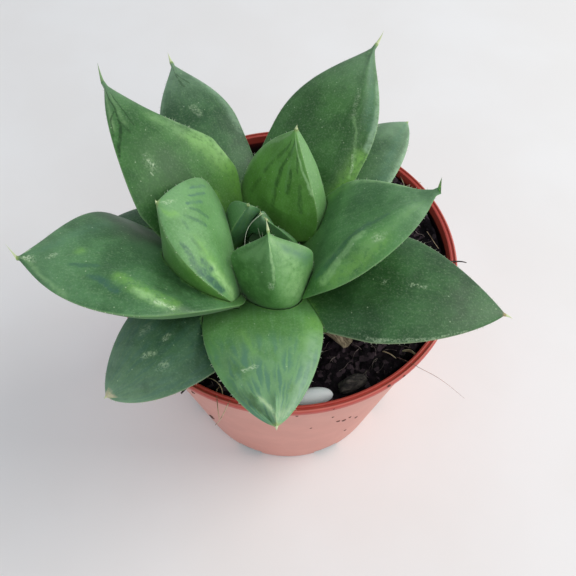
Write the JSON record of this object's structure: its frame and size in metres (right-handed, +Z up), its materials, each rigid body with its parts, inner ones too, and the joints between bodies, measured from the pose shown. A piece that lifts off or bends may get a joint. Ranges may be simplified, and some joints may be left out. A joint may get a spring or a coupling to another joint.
{
  "type": "potted haworthia",
  "caption": "Haworthia succulent: a rosette of fleshy, keeled, pointed leaves on a short stem, growing in a round tapering plastic nursery pot filled with soil.",
  "frame": {"origin": "centre of the pot's flat underside, on the surface it stands on", "axes": "+Z up along the pot's axis, -Y towards the front of the plant, +X to its right seen from the front"},
  "size_m": [0.1019, 0.0991, 0.1058],
  "materials": {
    "pot": "satin",
    "soil": "loose and crumbly",
    "stem": "dull",
    "leaf_old": "satin",
    "leaf": "satin",
    "leaf_young": "satin",
    "pebble": "smooth",
    "bark": "rough",
    "husk": "dry and papery"
  },
  "bodies": {
    "root": {"pot": "pot", "soil": "soil", "stem_and_roots": "stem", "pebble": "pebble", "bark_chip": "bark", "husk": "husk", "leaf_left_low": "leaf_old", "leaf_back_right_low": "leaf_old", "leaf_front_left_low": "leaf_old", "leaf_back_left": "leaf_old", "leaf_right": "leaf_old", "leaf_left": "leaf", "leaf_front": "leaf", "leaf_back": "leaf", "leaf_upper_left": "leaf", "leaf_upper_right": "leaf", "leaf_inner_back": "leaf_young", "leaf_inner_front": "leaf_young", "leaf_inner_left": "leaf_young", "leaf_heart_left": "leaf_young", "leaf_heart_right": "leaf_young", "leaf_bud": "leaf_young"}
  },
  "joints": []
}
